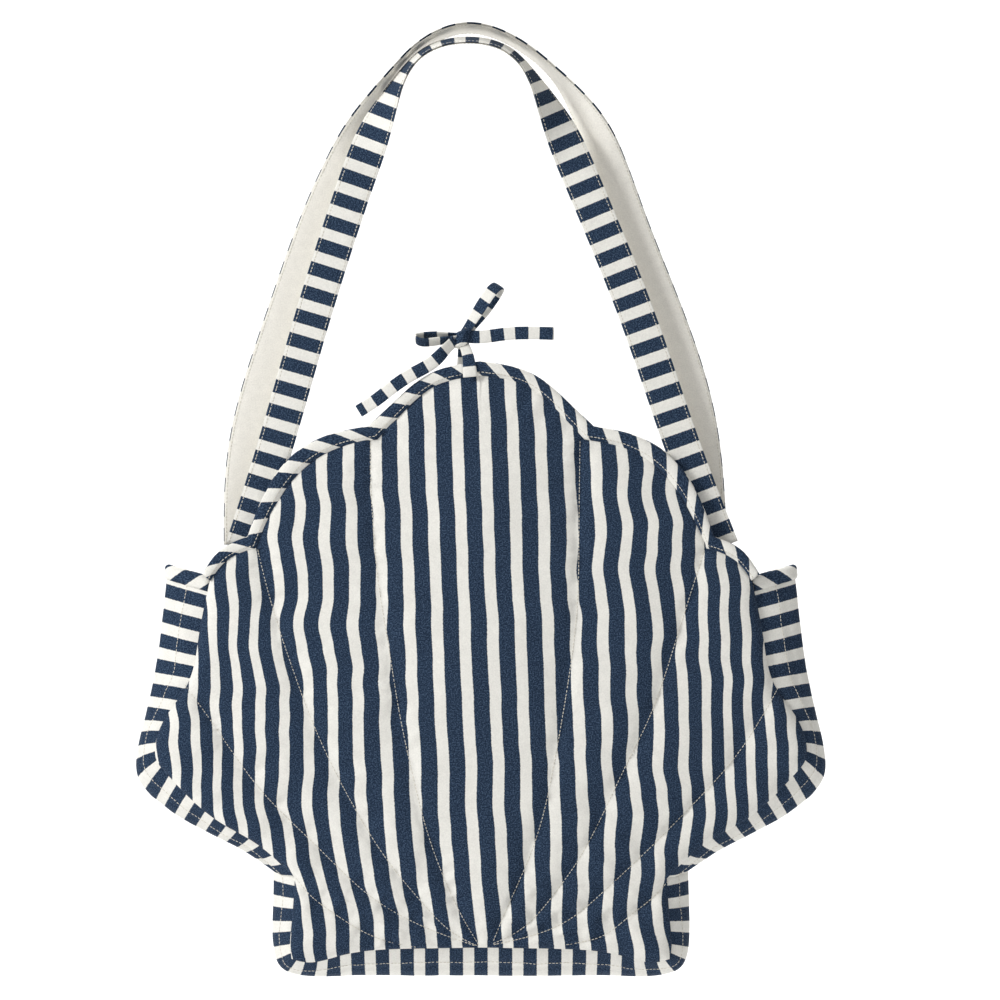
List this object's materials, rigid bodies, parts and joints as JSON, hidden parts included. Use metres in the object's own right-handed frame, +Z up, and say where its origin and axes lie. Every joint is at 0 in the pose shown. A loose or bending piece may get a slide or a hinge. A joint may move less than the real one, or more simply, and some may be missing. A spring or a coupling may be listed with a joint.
{
  "type": "laundry bag",
  "caption": "Scallop-shaped quilted fabric bag with a flared boxed gusset, shoulder straps over the mouth and fabric ties knotted in a bow that closes the peak.",
  "frame": {"origin": "where a hook or shoulder bears on the straps: the middle of the underside of the straps' tops", "axes": "+Z up, against the pull of the hanging bag; +X to the right of someone facing the front; the front faces -Y"},
  "size_m": [0.5502, 0.0664, 0.7628],
  "materials": {
    "striped_cotton": "matte woven, navy and cream stripes",
    "cream_cotton": "matte woven",
    "wadding": "fleecy",
    "thread": "matte twisted"
  },
  "bodies": {
    "root": {"back_panel": "striped_cotton", "back_wadding": "wadding", "back_lining": "cream_cotton", "back_binding": "striped_cotton", "back_binding_thread": "thread", "back_quilting_thread": "thread", "back_strap_ends": "striped_cotton", "back_tie_base": "striped_cotton", "gusset_bottom": "striped_cotton", "gusset_bottom_lining": "cream_cotton", "gusset_left": "striped_cotton", "gusset_left_lining": "cream_cotton", "gusset_right": "striped_cotton", "gusset_right_lining": "cream_cotton", "gusset_left_binding": "striped_cotton", "gusset_right_binding": "striped_cotton"},
    "front_panel": {"front_panel": "striped_cotton", "front_wadding": "wadding", "front_lining": "cream_cotton", "front_binding": "striped_cotton", "front_binding_thread": "thread", "front_quilting_thread": "thread", "front_strap_ends": "striped_cotton", "front_tie_base": "striped_cotton", "tie_tail_left": "striped_cotton"},
    "front_strap": {"front_strap_outer": "striped_cotton", "front_strap_lining": "cream_cotton"},
    "back_strap": {"back_strap_outer": "striped_cotton", "back_strap_lining": "cream_cotton"},
    "tie_bow": {"bow_knot": "striped_cotton", "bow_loop_left": "striped_cotton", "bow_loop_right": "striped_cotton", "tie_tail_right": "striped_cotton"}
  },
  "joints": [
    {"name": "mouth_open", "type": "hinge", "parent": "root", "child": "front_panel", "pos_m": [0, -0.028, -0.734], "axis": [1, 0, 0], "range_deg": [0, 4]},
    {"name": "bow_follow", "type": "hinge", "parent": "root", "child": "tie_bow", "pos_m": [0, -0.028, -0.734], "axis": [1, 0, 0], "range_deg": [0, 2]},
    {"name": "front_strap_fold", "type": "hinge", "parent": "front_panel", "child": "front_strap", "pos_m": [0, -0.008, -0.318], "axis": [1, 0, 0], "range_deg": [0, 88]},
    {"name": "back_strap_fold", "type": "hinge", "parent": "root", "child": "back_strap", "pos_m": [0, 0.008, -0.318], "axis": [1, 0, 0], "range_deg": [-88, 0]}
  ],
  "couplings": [
    {"joint": "bow_follow", "follows": "mouth_open", "ratio": 0.5}
  ]
}
